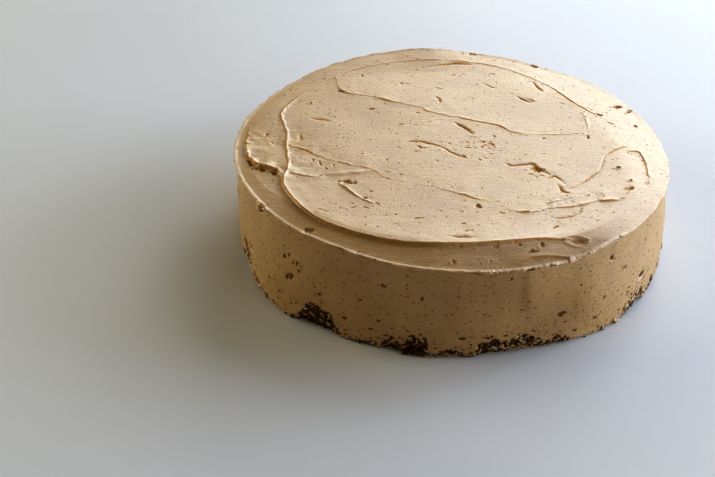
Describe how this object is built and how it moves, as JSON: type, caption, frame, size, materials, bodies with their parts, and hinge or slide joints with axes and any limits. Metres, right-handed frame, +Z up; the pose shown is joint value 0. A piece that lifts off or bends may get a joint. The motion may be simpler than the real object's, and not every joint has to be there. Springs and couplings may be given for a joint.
{
  "type": "coffee cake",
  "caption": "Round uncut coffee cake: dark sponge under a palette-knifed coat of coffee buttercream with a torn lip at the rim, flat below to stand on a plate or stand",
  "frame": {"origin": "the middle of the cake's underside, on the surface it stands on", "axes": "+Z up through the cake; -Y is the front that the picture shows and +Y the back; +X is the picture's right"},
  "size_m": [0.2287, 0.2304, 0.0585],
  "materials": {
    "sponge": "dry open crumb of a dark sponge, fully matte",
    "icing": "spread buttercream, fine pores and knife streaks, soft sheen"
  },
  "bodies": {
    "root": {"sponge": "sponge", "icing": "icing"}
  },
  "joints": []
}
